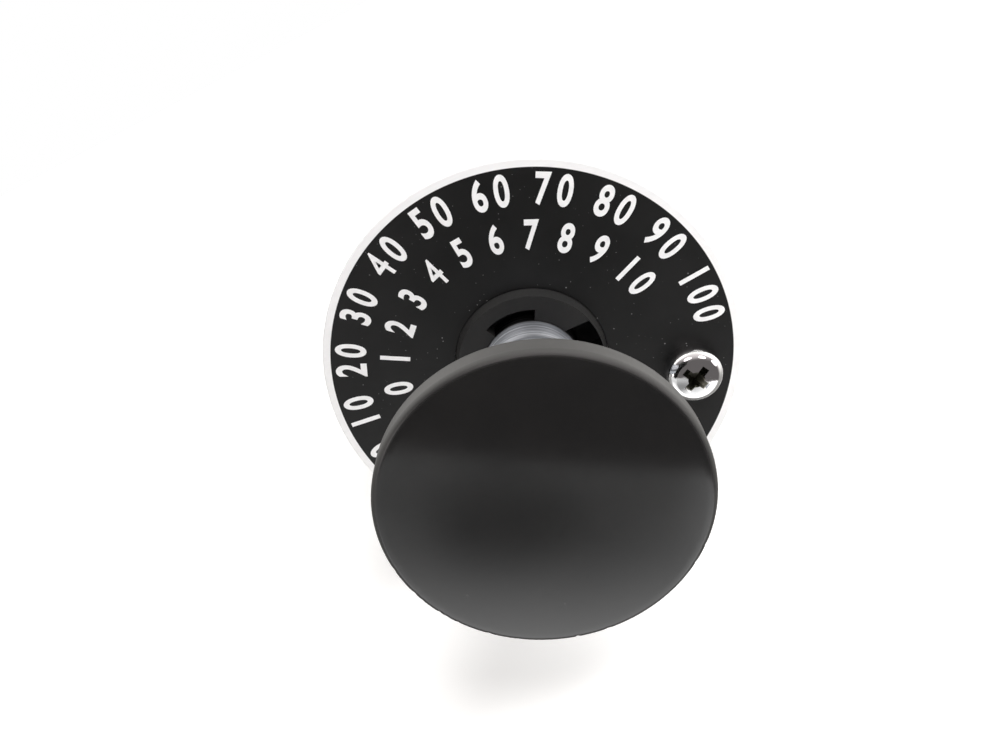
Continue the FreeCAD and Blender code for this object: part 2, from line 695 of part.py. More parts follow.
def make_rear_cover():
    """An oval cover with the exhaust seat inside and the exhaust port behind."""
    cavity_r = SPOOL_BORE_R
    back_r = cavity_r + COVER_WALL - COVER_DRAFT
    flange_back_y = BODY_END_Y + COVER_FLANGE_T
    outer = turned([
        (BODY_END_Y, 0),
        (BODY_END_Y, COVER_FLANGE_R),
        (flange_back_y, COVER_FLANGE_R),
        (flange_back_y, cavity_r + COVER_WALL),
        (COVER_BACK_Y - COVER_BACK_EDGE, back_r),
        (COVER_BACK_Y, back_r - COVER_BACK_EDGE),
        (COVER_BACK_Y, EXHAUST_BOSS_R),
        (COVER_END_Y - EXHAUST_EDGE, EXHAUST_BOSS_R - COVER_DRAFT),
        (COVER_END_Y, EXHAUST_BOSS_R - COVER_DRAFT - EXHAUST_EDGE),
        (COVER_END_Y, 0),
    ])
    lugs = []
    for angle in COVER_SCREW_ANGLES:
        lugs += webbed_lug(BODY_END_Y, flange_back_y, COVER_LUG_R, COVER_SCREW_CIRCLE_R, angle)
    cover = outer.fuse(lugs)
    front = BODY_END_Y - PAST
    half = COVER_SEAL_SECTION + SEAL_GAP
    groove_end_y = BODY_END_Y + COVER_SEAL_SECTION + half
    cuts = [disc(front, COVER_FLOOR_Y, cavity_r), disc(front, COVER_END_Y + PAST, EXHAUST_HOLE_R)]
    cuts.append(ring(front, groove_end_y, COVER_SEAL_R - half, COVER_SEAL_R + half))
    for centre in cover_screw_centres():
        cuts.append(disc(front, flange_back_y + PAST, COVER_SCREW_SHANK_R + COVER_SCREW_GAP, centre))
    return cover.cut(cuts).fuse(seat_lip(COVER_FLOOR_Y, -COVER_SEAT_H)).removeSplitter()


def make_cover_seal():
    return round_seal(BODY_END_Y + COVER_SEAL_SECTION, COVER_SEAL_R, COVER_SEAL_SECTION)


def make_cover_screws():
    """Hexagon head screws that hold the rear cover to the body's lugs."""
    seat_y = BODY_END_Y + COVER_FLANGE_T + LOCK_WASHER_T
    screws = []
    for centre in cover_screw_centres():
        head = hexagon(seat_y, seat_y + COVER_SCREW_HEAD_H, COVER_SCREW_FLATS, centre)
        shank = disc(BODY_END_Y - COVER_SCREW_BITE, seat_y, COVER_SCREW_SHANK_R, centre)
        screws.append(head.fuse(shank).removeSplitter())
    return group(screws)


def make_cover_lock_washers():
    """Split spring washers under the heads of the cover screws."""
    y0 = BODY_END_Y + COVER_FLANGE_T
    y1 = y0 + LOCK_WASHER_T
    washers = []
    for centre in cover_screw_centres():
        washer = ring(y0, y1, COVER_SCREW_SHANK_R + LOCK_WASHER_GAP, LOCK_WASHER_R, centre)
        split = radial_box(y0 - PAST, y1 + PAST, LOCK_WASHER_SPLIT, LOCK_WASHER_R + PAST)
        split.translate(centre)
        washers.append(washer.cut(split))
    return group(washers)


def all_parts():
    return {
        "knob": make_knob(),
        "knob_roll_pin": make_roll_pin(),
        "plunger": make_plunger(),
        "nameplate": make_nameplate(),
        "nameplate_screws": make_nameplate_screws(),
        "screw_inserts": make_screw_inserts(),
        "valve_body": make_valve_body(),
        "plunger_wiper": make_wiper(),
        "stop_washer": make_stop_washer(),
        "return_spring": make_return_spring(),
        "guide_spool": make_guide_spool(),
        "spool_front_seal": make_spool_seal(0),
        "spool_rear_seal": make_spool_seal(1),
        "stem_seal": make_stem_seal(),
        "spool_retaining_ring": make_retaining_ring(),
        "inlet_exhaust_seal": make_seal(),
        "seal_washer": make_seal_washer(),
        "plunger_lock_nut": make_lock_nut(),
        "supply_port_insert": make_port_insert("supply"),
        "delivery_port_insert": make_port_insert("delivery"),
        "rear_cover": make_rear_cover(),
        "cover_seal": make_cover_seal(),
        "cover_screws": make_cover_screws(),
        "cover_lock_washers": make_cover_lock_washers(),
    }


os.makedirs("parts", exist_ok=True)
for node, shape in all_parts().items():
    shape.exportStep("parts/" + node + ".step")
    print(node, "solids", len(shape.Solids), "valid", shape.isValid(), "volume", round(shape.Volume, 1))
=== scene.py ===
"""Looks of the air brake dash control valve: materials, fine meshes, floor, light and camera."""

import json
import math

import bmesh
import bpy
from mathutils import Matrix, Vector

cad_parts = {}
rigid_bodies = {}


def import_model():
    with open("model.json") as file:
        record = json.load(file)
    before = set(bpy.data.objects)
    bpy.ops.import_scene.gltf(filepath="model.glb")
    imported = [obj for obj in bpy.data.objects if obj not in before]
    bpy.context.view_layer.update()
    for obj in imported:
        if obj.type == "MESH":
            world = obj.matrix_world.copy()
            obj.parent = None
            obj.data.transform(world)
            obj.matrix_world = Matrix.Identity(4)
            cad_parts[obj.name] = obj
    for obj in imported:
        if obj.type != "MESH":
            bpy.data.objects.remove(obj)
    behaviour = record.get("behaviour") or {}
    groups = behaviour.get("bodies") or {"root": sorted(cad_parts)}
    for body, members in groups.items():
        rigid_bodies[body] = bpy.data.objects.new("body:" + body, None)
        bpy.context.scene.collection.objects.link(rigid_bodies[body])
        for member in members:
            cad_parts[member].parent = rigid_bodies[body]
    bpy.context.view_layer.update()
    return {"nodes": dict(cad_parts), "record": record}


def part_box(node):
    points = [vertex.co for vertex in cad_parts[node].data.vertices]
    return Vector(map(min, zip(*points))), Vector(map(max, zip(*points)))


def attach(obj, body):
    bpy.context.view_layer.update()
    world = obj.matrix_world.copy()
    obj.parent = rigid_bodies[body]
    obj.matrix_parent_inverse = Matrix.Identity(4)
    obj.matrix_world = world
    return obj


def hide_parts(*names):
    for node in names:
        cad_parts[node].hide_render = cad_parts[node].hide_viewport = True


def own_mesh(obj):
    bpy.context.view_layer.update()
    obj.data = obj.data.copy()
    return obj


for left_over in list(bpy.data.objects):
    bpy.data.objects.remove(left_over)

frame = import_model()
NODES = frame["nodes"]

# Sizes below are in millimetres and in the part's own frame: X right, Y into the dash, Z up.
MM = 0.001

# The valve lies rolled about the plunger's axis in the photo.
PHOTO_ROLL = math.radians(25.0)

# Camera, measured from the middle of the nameplate's front: to the photo's right, up and towards the viewer
CAMERA_PLACE = (-4.4, 57.1, 116.9)
CAMERA_TILT = math.radians(26.55)
CAMERA_ROLL = math.radians(0.9)
SENSOR = 36.0
FOCAL_PIXELS = 950.0
PHOTO_WIDTH = 1000.0

# Nameplate
PLATE_MIDDLE = (-0.4, -0.9)
PLATE_FRONT_Y = -0.8
PRINT_R = 27.5
PRINT_T = 0.03

# Rows of numbers: middle radius, height, digit spacing, and the arc they fill, in degrees of the photo
OUTER_BAND = (24.75, 4.3, 2.95, 214.5, 14.0)
INNER_BAND = (18.7, 4.1, 2.85, 194.0, 35.0)
DIGIT_NARROW = 0.70
DIGIT_BOLD = 0.026
DIGIT_BOLD_FOUR = 0.010

# Knob; it is worn dull from one radius outwards, and its colour is painted lighter there as a sheen
KNOB_RIM_T = 3.1
KNOB_DOME_H = 1.3
KNOB_EDGE_R = 0.8
KNOB_BACK_EDGE_R = 0.5
KNOB_HUB_R = 9.2
KNOB_HUB_TIP_R = 8.7
KNOB_BACK_DISH = 1.6
KNOB_DISH_FLOOR = 1.5
KNOB_BORE_R = 6.52
DULL_SHEEN_FROM_R = 17.15
DULL_SHEEN_BLEND = 0.6
PIN_HOLE_R = 1.52
FIT_GAP = 0.02

# Nameplate screws: radius of the head, the recess in it, where shade is painted, and how far below the
# head's top that starts
SCREW_HEAD_R = 3.9
RECESS_R = 2.3
RECESS_BLEND = 0.3
RECESS_FROM = 0.25

# Nicks in the knob's front edge: place round the edge in degrees, depth and half width. They fade out over
# a millimetre, and the edge is also a little wavy.
NICK_FADE = 1.0
NICK_REACH = 2.6
EDGE_WAVE = 0.012
NICKS = (
    (181.0, 0.07, 0.35),
    (193.0, 0.09, 0.4),
    (197.0, 0.06, 0.25),
    (205.0, 0.10, 0.3),
    (208.0, 0.07, 0.25),
    (213.0, 0.06, 0.2),
    (225.0, 0.10, 0.25),
    (236.0, 0.05, 0.2),
    (257.5, 0.20, 0.16),
    (269.0, 0.09, 0.35),
    (310.5, 0.08, 0.25),
    (318.5, 0.07, 0.2),
)

# Plunger: its outline behind the collar's front as (distance from there, radius), the turning rings, and
# where shade is painted on the plating inside the body
PLUNGER_R = 6.5
PLUNGER_EDGE = 0.6
COLLAR_Y = 8.0
PLUNGER_REAR = ((0.0, 6.5), (0.0, 8.8), (2.2, 8.8), (2.2, 6.22), (3.6, 5.98), (3.6, 4.0), (34.2, 4.0),
                (34.2, 2.5), (41.6, 2.5), (42.2, 1.9), (42.2, 0.0))
RINGS_FROM_Y = -20.0
RINGS_TO_Y = 4.0
RING_PITCH = 0.7
RING_DEPTH = 0.07
BORE_SHADE_Y = -2.75
BORE_SHADE_BLEND = 0.3

# Fineness of the round meshes
KNOB_SEGMENTS = 720
PLUNGER_SEGMENTS = 360
SPRING_STEPS = 48
WIRE_SIDES = 12

# The floor reaches this far each way, in metres, and lies this far under the nameplate, in millimetres.
# For the camera it also glows of itself: a little near the part, and fully from far enough away.
FLOOR_HALF = 3.0
FLOOR_GAP = 0.05
FLOOR_GLOW = 0.31
FAR_GLOW = 1.1
GLOW_FROM = 90.0
GLOW_TO = 260.0

# The share of the room's brightness that lights matt surfaces; the lamps give them the rest
ROOM_LIGHT = 0.42

# The room that the part mirrors, as levels of light. The table is bright close by and less so far off,
# brighter at both sides and its right end, with a band near its far edge and one dark spot.
TABLE_NEAR_LIGHT = 2.6
TABLE_FAR_LIGHT = 0.52
TABLE_SIDE_LIGHT = 0.6
TABLE_RIGHT_LIGHT = 1.2
TABLE_BAND_LIGHT = 0.2
DARK_SPOT = (-0.05, -0.585, 0.81)
DARK_SPOT_LOSS = -0.22

# The height at which the table ends, from full to none, and how far that slopes to the right
TABLE_EDGE = (-0.447, -0.42)
TABLE_TILT = 0.09

# Above the table it is dark round the camera; the walls behind the part and the ceiling are light
DARK_FRONT_LIGHT = 0.13
UPPER_FRONT_LIGHT = 0.3
WALL_FOOT_LIGHT = 0.25
WALL_LIGHT = 1.2
CEILING_LIGHT = 0.35

# Colours of the room in front and of the walls behind
FRONT_TINT = (1.06, 0.98, 0.98, 1.0)
WALL_TINT = (1.0, 0.985, 0.95, 1.0)

# Windows of the room, as directions in the photo's frame, which show as bright spots in the chrome
WINDOWS = ((-0.28, 0.59, 0.75), (0.39, 0.62, 0.67), (0.85, 0.21, 0.46), (-0.78, -0.17, 0.59))
WINDOW_EDGE = (0.978, 0.988)
WINDOW_LIGHT = 2.2

# Return spring
SPRING_WIRE_R = 0.7
SPRING_COIL_R = 7.0
SPRING_TURNS = 4.6


def mm(x, y, z):
    return Vector((x, y, z)) * MM


def from_photo(right, up, near):
    """A direction or distance in the photo's frame as one in the part's frame."""
    c, s = math.cos(PHOTO_ROLL), math.sin(PHOTO_ROLL)
    return Vector((right * c + up * s, -near, -right * s + up * c))


PLATE_CENTRE = Vector((PLATE_MIDDLE[0], PLATE_FRONT_Y, PLATE_MIDDLE[1]))


class Shader:
    """A material whose nodes are added one call at a time."""

    def __init__(self, name, data=None):
        self.material = data or bpy.data.materials.new(name)
        self.material.use_nodes = True
        self.tree = self.material.node_tree
        self.tree.nodes.clear()

    def add(self, kind, settings=None, **inputs):
        node = self.tree.nodes.new("ShaderNode" + kind)
        for key, value in (settings or {}).items():
            setattr(node, key, value)
        for key, value in inputs.items():
            self.feed(node.inputs[key.replace("_", " ")], value)
        return node

    def feed(self, socket, value):
        if isinstance(value, bpy.types.NodeSocket):
            self.tree.links.new(value, socket)
        else:
            socket.default_value = value

    def math(self, operation, first, second=0.0):
        node = self.add("Math", {"operation": operation})
        self.feed(node.inputs[0], first)
        self.feed(node.inputs[1], second)
        return node.outputs[0]

    def times(self, first, second):
        return self.math("MULTIPLY", first, second)

    def total(self, first, *others):
        for other in others:
            first = self.math("ADD", first, other)
        return first

    def length(self, first, second):
        """The length of a flat vector with these two components."""
        return self.math("SQRT", self.total(self.times(first, first), self.times(second, second)))

    def span(self, value, low, high, to_low=0.0, to_high=1.0):
        """Maps low..high onto to_low..to_high with soft ends."""
        node = self.add("MapRange", {"interpolation_type": "SMOOTHSTEP"}, Value=value)
        for key, number in (("From Min", low), ("From Max", high), ("To Min", to_low), ("To Max", to_high)):
            node.inputs[key].default_value = number
        return node.outputs["Result"]

    def place(self, scale=(1.0, 1.0, 1.0)):
        """The point in the part's own frame, in millimetres."""
        point = self.add("TexCoord").outputs["Object"]
        return self.add("Mapping", Vector=point, Scale=[s / MM for s in scale]).outputs["Vector"]

    def noise(self, scale, detail=3.0, stretch=(1.0, 1.0, 1.0), roughness=0.55):
        """Noise whose features measure about one over scale millimetres."""
        place = self.place(stretch)
        node = self.add("TexNoise", Vector=place, Scale=scale, Detail=detail, Roughness=roughness)
        return node.outputs["Fac"]

    def mix(self, factor, first, second):
        node = self.add("Mix", {"data_type": "RGBA"})
        self.feed(node.inputs["Factor"], factor)
        self.feed(node.inputs["A"], first)
        self.feed(node.inputs["B"], second)
        return node.outputs["Result"]

    def bump(self, height, depth):
        """A bump whose full height is depth millimetres."""
        return self.add("Bump", Strength=1.0, Distance=depth * MM, Height=height).outputs["Normal"]

    def finish(self, **inputs):
        bsdf = self.add("BsdfPrincipled", **inputs)
        out = self.add("OutputMaterial")
        self.tree.links.new(bsdf.outputs[0], out.inputs["Surface"])
        return self.material


def grey(value, warm=0.0):
    return (value * (1 + warm), value, value * (1 - warm), 1.0)


def specks(shader, cell, size, share):
    """Small specks of dust: one in each cell of this many millimetres, but only in a share of the cells."""
    cells = shader.add("TexVoronoi", Vector=shader.place(), Scale=1.0 / cell, Randomness=1.0)
    near = shader.span(cells.outputs["Distance"], size / cell * 0.6, size / cell, 1.0, 0.0)
    draw = shader.add("SeparateColor", Color=cells.outputs["Color"]).outputs[0]
    return shader.times(near, shader.math("LESS_THAN", draw, share))


def knob_plastic():
    """Black moulding with a face polished by handling, some dust and a duller rim with a painted sheen."""
    s = Shader("knob_plastic")
    spot = s.add("SeparateXYZ", Vector=s.place())
    from_axis = s.length(spot.outputs["X"], spot.outputs["Z"])
    rim = s.span(from_axis, DULL_SHEEN_FROM_R, DULL_SHEEN_FROM_R + DULL_SHEEN_BLEND)
    cloud = s.noise(0.12, 4.0)
    grain = s.noise(1.6, 0.0)
    dust = specks(s, 3.1, 0.1, 0.22)
    colour = s.mix(s.span(cloud, 0.35, 0.7), grey(0.009, 0.01), grey(0.011, 0.03))
    # Painted sheen: the rim is coloured lighter, standing in for light on its side wall.
    colour = s.mix(rim, colour, grey(0.032, 0.03))
    colour = s.mix(s.times(dust, 0.22), colour, grey(0.3))
    polish = s.mix(s.span(s.noise(0.35, 3.0), 0.3, 0.75), grey(0.11), grey(0.14))
    rough = s.mix(rim, polish, grey(0.42))
    return s.finish(Base_Color=colour, Roughness=rough, Normal=s.bump(grain, 0.0012))


def body_moulding():
    """Dark glass filled moulding with a fine spark grain."""
    s = Shader("body_moulding")
    grain = s.noise(7.0, 4.0)
    cloud = s.noise(0.2, 4.0)
    colour = s.mix(s.span(cloud, 0.3, 0.7), grey(0.016), grey(0.020, 0.02))
    rough = s.span(grain, 0.3, 0.7, 0.5, 0.62)
    bump = s.bump(grain, 0.012)
    return s.finish(Base_Color=colour, Roughness=rough, Specular_IOR_Level=0.3, Normal=bump)


def plate_print():
    """Satin black print on bare aluminium, which shows as a rim, with fine dust on the print."""
    s = Shader("plate_print")
    spot = s.add("SeparateXYZ", Vector=s.place())
    across = s.math("SUBTRACT", spot.outputs["X"], PLATE_MIDDLE[0])
    up = s.math("SUBTRACT", spot.outputs["Z"], PLATE_MIDDLE[1])
    away = s.length(across, up)
    inside = s.span(away, PRINT_R - 0.04, PRINT_R + 0.04, 1.0, 0.0)
    in_front = s.span(spot.outputs["Y"], PLATE_FRONT_Y + 0.03, PLATE_FRONT_Y + 0.08, 1.0, 0.0)
    printed = s.times(inside, in_front)
    fine = specks(s, 0.65, 0.07, 0.5)
    coarse = specks(s, 2.1, 0.13, 0.5)
    drifts = s.span(s.noise(0.25, 2.0), 0.35, 0.7, 0.0, 0.5)
    round_boss = s.span(away, 11.0, 17.0, 0.9, 0.0)
    settled = s.math("MAXIMUM", drifts, round_boss)
    dust = s.times(s.math("MAXIMUM", fine, coarse), settled)
    black = s.mix(s.span(s.noise(0.15, 4.0), 0.3, 0.7), grey(0.0085), grey(0.011))
    black = s.mix(dust, black, grey(0.42))
    brushed = s.noise(3.0, 3.0, (0.05, 1.0, 1.0))
    bare = s.mix(brushed, grey(0.90), grey(0.97))
    colour = s.mix(printed, bare, black)
    rough = s.mix(printed, grey(0.68), grey(0.38))
    metal = s.times(s.math("SUBTRACT", 1.0, printed), 0.06)
    gloss = s.span(printed, 0.0, 1.0, 0.5, 0.36)
    height = s.total(s.times(brushed, 0.2), s.noise(12.0, 2.0))
    return s.finish(Base_Color=colour, Metallic=metal, Roughness=rough, Specular_IOR_Level=gloss,
                    Normal=s.bump(height, 0.004))


def white_print():
    s = Shader("white_print")
    cloud = s.noise(1.2, 4.0)
    colour = s.mix(s.span(cloud, 0.3, 0.75), grey(0.86), grey(0.94))
    return s.finish(Base_Color=colour, Roughness=0.5, Normal=s.bump(s.noise(14.0, 2.0), 0.003))


def metal(name, colour, rough, ring_scale=0.0, depth=0.004, cloud_scale=0.4, metallic=1.0):
    """A metal with soft clouds in its gloss, and with turning rings where their scale is given."""
    s = Shader(name)
    cloud = s.noise(cloud_scale, 5.0)
    low, high = rough
    dark, light = colour
    shade = s.mix(s.span(cloud, 0.3, 0.7), dark, light)
    gloss = s.span(s.noise(cloud_scale * 3, 4.0), 0.3, 0.7, low, high)
    height = s.noise(10.0, 3.0)
    if ring_scale:
        height = s.noise(ring_scale, 4.0, (0.04, 1.0, 0.04), 0.7)
    return s.finish(Base_Color=shade, Metallic=metallic, Roughness=gloss, Normal=s.bump(height, depth))


def turned_plating():
    """Plating whose turning grooves spread its gloss along the axis, with shade painted dark where it runs
    in the body.
    """
    s = Shader("turned_plating")
    spot = s.add("SeparateXYZ", Vector=s.place())
    rings = s.noise(1.6, 3.0, (0.03, 1.0, 0.03), 0.6)
    shade = s.mix(s.span(rings, 0.4, 0.6), (0.42, 0.45, 0.50, 1.0), (0.80, 0.83, 0.88, 1.0))
    # Painted shade: the plating is coloured nearly black where it runs inside the body.
    inside = s.span(spot.outputs["Y"], BORE_SHADE_Y - BORE_SHADE_BLEND, BORE_SHADE_Y + BORE_SHADE_BLEND)
    shade = s.mix(inside, shade, grey(0.02))
    grooves = s.add("Tangent", {"direction_type": "RADIAL", "axis": "Y"}).outputs["Tangent"]
    rough = s.span(rings, 0.3, 0.7, 0.36, 0.44)
    return s.finish(Base_Color=shade, Metallic=1.0, Roughness=rough, Anisotropic=0.95,
                    Anisotropic_Rotation=0.25, Tangent=grooves)


def chrome():
    """Bright plating that is dull and painted dark as shade down in the cross recess of the two nameplate
    screws.
    """
    s = Shader("chrome")
    spot = s.add("SeparateXYZ", Vector=s.place())
    low, high = (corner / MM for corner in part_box("nameplate_screws"))
    aside = s.math("SUBTRACT", s.math("ABSOLUTE", spot.outputs["X"]), high.x - SCREW_HEAD_R)
    above = s.math("SUBTRACT", spot.outputs["Z"], low.z + SCREW_HEAD_R)
    central = s.span(s.length(aside, above), RECESS_R, RECESS_R + RECESS_BLEND, 1.0, 0.0)
    sunk = s.span(spot.outputs["Y"], low.y + RECESS_FROM, low.y + 2 * RECESS_FROM)
    recess = s.times(central, sunk)
    bright = s.mix(s.noise(0.5, 4.0), grey(0.80), grey(0.90))
    # Painted shade: the recess is coloured dark.
    colour = s.mix(recess, bright, (0.17, 0.17, 0.14, 1.0))
    rough = s.span(recess, 0.0, 1.0, 0.06, 0.28)
    bump = s.bump(s.noise(4.0, 3.0), 0.003)
    return s.finish(Base_Color=colour, Metallic=1.0, Roughness=rough, Normal=bump)


def rubber():
    s = Shader("rubber")
    cloud = s.noise(1.5, 4.0)
    colour = s.mix(cloud, grey(0.016), grey(0.026))
    return s.finish(Base_Color=colour, Roughness=0.62, Normal=s.bump(s.noise(8.0, 3.0), 0.008))


def nylon():
    s = Shader("nylon")
    colour = s.mix(s.noise(0.8, 3.0), (0.66, 0.64, 0.58, 1.0), (0.74, 0.72, 0.66, 1.0))
    return s.finish(Base_Color=colour, Roughness=0.45, Normal=s.bump(s.noise(6.0, 3.0), 0.006))


PLATED = metal("plated_steel", ((0.56, 0.60, 0.66, 1.0), (0.74, 0.78, 0.84, 1.0)), (0.26, 0.34), depth=0.002,
               metallic=0.85)
PLUNGER_PLATING = turned_plating()
CHROME = chrome()
PRINT_WHITE = white_print()
SPRING_STEEL = metal("spring_steel", (grey(0.34), grey(0.42)), (0.28, 0.4))
BRASS = metal("brass", ((0.60, 0.42, 0.17, 1.0), (0.72, 0.52, 0.24, 1.0)), (0.24, 0.36), depth=0.006)
ALUMINIUM = metal("aluminium", (grey(0.62), grey(0.72)), (0.26, 0.38), ring_scale=4.0, depth=0.01)
CAST = metal("cast_cover", (grey(0.42), grey(0.52)), (0.42, 0.58), depth=0.05, cloud_scale=0.8)

FINISHES = {
    "knob": knob_plastic(),
    "nameplate": plate_print(),
    "chrome": CHROME,
    "plated_steel": PLATED,
    "spring_steel": SPRING_STEEL,
    "brass": BRASS,
    "body_moulding": body_moulding(),
    "rubber": rubber(),
    "nylon": nylon(),
    "aluminium": ALUMINIUM,
    "cast_cover": CAST,
}


def dress_nodes():
    """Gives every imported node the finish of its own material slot."""
    for subpart in frame["record"]["subparts"]:
        node = NODES[subpart["node"]]
        for slot in node.material_slots:
            slot.material = FINISHES[subpart["material_slot"]]


def mesh_object(name, bm, material, sharp=35.0):
    mesh = bpy.data.meshes.new(name)
    bm.normal_update()
    bm.to_mesh(mesh)
    bm.free()
    mesh.shade_smooth()
    mesh.set_sharp_from_angle(angle=math.radians(sharp))
    mesh.materials.append(material)
    obj = bpy.data.objects.new(name, mesh)
    bpy.context.scene.collection.objects.link(obj)
    return obj


def add_piece(obj, body, nodes=()):
    """Says what a piece rides on and which nodes it stands for."""
    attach(obj, body)
    if nodes:
        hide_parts(*nodes)
    return obj


def rounded_profile(corners, steps=8):
    """A line through (y, radius, rounding) corners, with an arc of the given rounding at each."""
    line = []
    for k, (y, r, size) in enumerate(corners):
        here = Vector((y, r))
        if size == 0 or k in (0, len(corners) - 1):
            line.append(here)
            continue
        back = Vector(corners[k - 1][:2]) - here
        ahead = Vector(corners[k + 1][:2]) - here
        half = back.angle(ahead) / 2
        reach = size / math.tan(half)
        start = here + back.normalized() * reach
        end = here + ahead.normalized() * reach
        inwards = (back.normalized() + ahead.normalized()).normalized()
        centre = here + inwards * (size / math.sin(half))
        first, last = start - centre, end - centre
        turn = first.angle_signed(last)
        for j in range(steps + 1):
            line.append(centre + Matrix.Rotation(-turn * j / steps, 2) @ first)
    return line


def lathe(line, segments):
    """A closed skin turned about the plunger's axis from points (y, radius) that start and end on it."""
    bm = bmesh.new()
    rows = []
    for y, r in line:
        if r < 1e-6:
            rows.append([bm.verts.new(mm(0, y, 0))])
            continue
        row = []
        for k in range(segments):
            a = 2 * math.pi * k / segments
            row.append(bm.verts.new(mm(r * math.cos(a), y, r * math.sin(a))))
        rows.append(row)
    for one, two in zip(rows, rows[1:]):
        for k in range(segments):
            corners = [one[k % len(one)], one[(k + 1) % len(one)]]
            corners += [two[(k + 1) % len(two)], two[k % len(two)]]
            unique = list(dict.fromkeys(corners))
            if len(unique) > 2:
                bm.faces.new(unique)
    bmesh.ops.recalc_face_normals(bm, faces=bm.faces)
    return bm


def dome_line(apex_y, rim_y, radius, count):
    """Points along a spherical dome, from its middle to its rim."""
    height = rim_y - apex_y
    sphere_r = (radius ** 2 + height ** 2) / (2 * height)
    line = []
    for k in range(count):
        r = radius * k / count
        line.append((apex_y + sphere_r - math.sqrt(sphere_r ** 2 - r ** 2), r))
    return line


def cut_pin_hole(obj, reach):
    """Drills the roll pin's hole along X."""
    low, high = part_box("knob_roll_pin")
    bm = bmesh.new()
    turn = Matrix.Rotation(math.pi / 2, 4, "Y")
    place = Matrix.Translation((0, (low[1] + high[1]) / 2, 0)) @ turn
    radius = PIN_HOLE_R * MM
    bmesh.ops.create_cone(bm, cap_ends=True, segments=48, radius1=radius, radius2=radius,
                          depth=2 * reach * MM, matrix=place)
    drill = mesh_object("drill", bm, obj.data.materials[0])
    cut = obj.modifiers.new("pin_hole", "BOOLEAN")
    cut.operation = "DIFFERENCE"
    cut.solver = "EXACT"
    cut.object = drill
    apply_modifiers(obj)
    bpy.data.objects.remove(drill)


def apply_modifiers(obj):
    graph = bpy.context.evaluated_depsgraph_get()
    mesh = bpy.data.meshes.new_from_object(obj.evaluated_get(graph))
    obj.modifiers.clear()
    obj.data = mesh


def nick_edge(bm, edge_y, radius):
    """Dents the knob's front edge at each nick."""
    for v in bm.verts:
        x, y, z = v.co / MM
        r = math.hypot(x, z)
        if r < radius - NICK_FADE or y > edge_y + NICK_REACH:
            continue
        angle = math.degrees(math.atan2(z, x)) % 360
        dent = 0.0
        for place, depth, half_width in NICKS:
            away = math.radians(angle - place) * radius / half_width
            dent += depth * math.exp(-away * away)
        dent += EDGE_WAVE * math.sin(7 * angle) * math.sin(2.3 * angle)
        fade = math.exp(-((y - edge_y) / NICK_FADE) ** 2) * (r - radius + NICK_FADE) / NICK_FADE
        shrink = 1 - dent * fade / r
        v.co = mm(x * shrink, y, z * shrink)


def make_knob():
    low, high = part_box("knob")
    radius = (high[0] - low[0]) / 2 / MM
    apex_y = low[1] / MM
    rim_y = apex_y + KNOB_DOME_H
    back_y = rim_y + KNOB_RIM_T
    floor_y = back_y + KNOB_BACK_DISH
    tip_y = high[1] / MM
    bore_floor_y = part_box("plunger")[0][1] / MM - FIT_GAP
    dome = dome_line(apex_y, rim_y, radius, 40)
    flat = len(dome) - 3
    corners = [(*dome[flat], 0), (rim_y, radius, KNOB_EDGE_R), (back_y, radius, KNOB_BACK_EDGE_R),
               (floor_y, KNOB_HUB_R + KNOB_DISH_FLOOR, 0.8), (floor_y, KNOB_HUB_R, 0.6),
               (tip_y, KNOB_HUB_TIP_R, KNOB_EDGE_R), (tip_y, KNOB_BORE_R, 0.25),
               (bore_floor_y, KNOB_BORE_R, 0), (bore_floor_y, 0, 0)]
    line = dome[:flat] + [tuple(p) for p in rounded_profile(corners)]
    bm = lathe(line, KNOB_SEGMENTS)
    nick_edge(bm, rim_y, radius)
    knob = mesh_object("knob_moulding", bm, FINISHES["knob"])
    cut_pin_hole(knob, KNOB_HUB_R + 1)
    return add_piece(knob, "push_rod", ["knob"])


def ring_line(start_y, end_y, radius):
    """Points along a turned shank whose tool marks differ a little in width and depth."""
    line = []
    y = start_y
    count = 0
    while y < end_y:
        width = RING_PITCH * (1 + 0.45 * math.sin(count * 2.4) * math.cos(count * 0.9))
        depth = RING_DEPTH * (0.55 + 0.45 * math.sin(count * 1.7 + 1))
        for share in (0.0, 0.15, 0.3, 0.5, 0.7, 0.85):
            line.append((y + width * share, radius - depth * math.sin(math.pi * share) ** 2))
        y += width
        count += 1
    line.append((y, radius))
    return line


def make_plunger():
    """The plunger with the fine rings that turning leaves on its bright shank."""
    tip_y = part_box("plunger")[0][1] / MM
    line = [(tip_y, 0.0), (tip_y, PLUNGER_R - PLUNGER_EDGE), (tip_y + PLUNGER_EDGE, PLUNGER_R)]
    line += ring_line(RINGS_FROM_Y, RINGS_TO_Y, PLUNGER_R)
    line += [(COLLAR_Y + ahead, r) for ahead, r in PLUNGER_REAR]
    plunger = mesh_object("plunger_turned", lathe(line, PLUNGER_SEGMENTS), PLUNGER_PLATING, 40.0)
    cut_pin_hole(plunger, PLUNGER_R + 1)
    return add_piece(plunger, "push_rod", ["plunger"])


